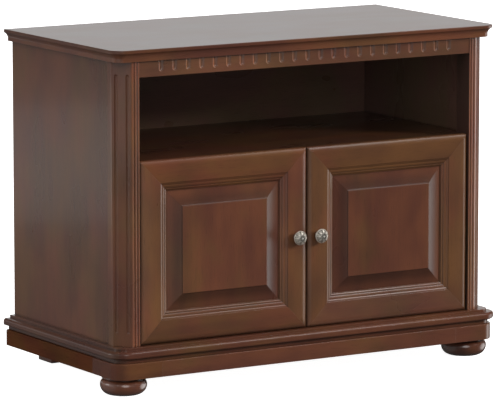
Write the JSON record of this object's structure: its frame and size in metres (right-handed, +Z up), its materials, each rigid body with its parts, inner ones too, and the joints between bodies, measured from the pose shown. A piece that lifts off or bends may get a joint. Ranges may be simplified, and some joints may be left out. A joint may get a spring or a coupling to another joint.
{
  "type": "tv stand",
  "caption": "Low wooden television stand with canted fluted corners, an open niche above hinged raised-panel doors, a moulded plinth and bun feet.",
  "frame": {"origin": "on the floor under the middle of the overall box", "axes": "+X to the right seen from the front, +Y to the back, +Z up"},
  "size_m": [1.008, 0.517, 0.76],
  "materials": {
    "stained_wood": "dark walnut stain under satin lacquer",
    "back_board": "thin stained board",
    "beech_dowel": "raw beech",
    "aged_silver": "aged silver with dark patina in the hollows",
    "hinge_steel": "nickel plated steel",
    "catch_plastic": "brown moulded plastic"
  },
  "bodies": {
    "cabinet": {"back_panel": "back_board", "back_panel_screws": "hinge_steel", "bottom_panel": "stained_wood", "carcass_dowels": "beech_dowel", "door_catches": "catch_plastic", "foot_bolts": "hinge_steel", "frieze_rail": "stained_wood", "front_base_moulding": "stained_wood", "front_plinth_board": "stained_wood", "inner_shelf": "stained_wood", "left_base_moulding": "stained_wood", "left_block_foot": "stained_wood", "left_bun_foot": "stained_wood", "left_corner_post": "stained_wood", "left_hinge_arms": "hinge_steel", "left_hinge_batten": "stained_wood", "left_hinge_plate_screws": "hinge_steel", "left_hinge_plates": "hinge_steel", "left_plinth_board": "stained_wood", "left_plinth_corner": "stained_wood", "left_side_panel": "stained_wood", "niche_shelf": "stained_wood", "rear_base_rail": "stained_wood", "rear_plinth_board": "stained_wood", "right_base_moulding": "stained_wood", "right_block_foot": "stained_wood", "right_bun_foot": "stained_wood", "right_corner_post": "stained_wood", "right_hinge_arms": "hinge_steel", "right_hinge_batten": "stained_wood", "right_hinge_plate_screws": "hinge_steel", "right_hinge_plates": "hinge_steel", "right_plinth_board": "stained_wood", "right_plinth_corner": "stained_wood", "right_side_panel": "stained_wood", "shelf_pins": "hinge_steel", "top_panel": "stained_wood", "top_rear_rail": "stained_wood"},
    "left_door": {"left_door_bottom_rail": "stained_wood", "left_door_hinge_stile": "stained_wood", "left_door_lock_stile": "stained_wood", "left_door_panel": "stained_wood", "left_door_strike": "hinge_steel", "left_door_top_rail": "stained_wood", "left_hinge_cups": "hinge_steel", "left_hinge_pins": "hinge_steel", "left_knob": "aged_silver", "left_knob_screw": "hinge_steel"},
    "right_door": {"right_door_bottom_rail": "stained_wood", "right_door_hinge_stile": "stained_wood", "right_door_lock_stile": "stained_wood", "right_door_panel": "stained_wood", "right_door_strike": "hinge_steel", "right_door_top_rail": "stained_wood", "right_hinge_cups": "hinge_steel", "right_hinge_pins": "hinge_steel", "right_knob": "aged_silver", "right_knob_screw": "hinge_steel"}
  },
  "joints": [
    {"name": "left_door_hinge", "type": "hinge", "parent": "cabinet", "child": "left_door", "pos_m": [-0.41498, -0.2193, 0.3125], "axis": [0, 0, -1], "range_deg": [0, 95]},
    {"name": "right_door_hinge", "type": "hinge", "parent": "cabinet", "child": "right_door", "pos_m": [0.41498, -0.2193, 0.3125], "axis": [0, 0, 1], "range_deg": [0, 95]}
  ]
}
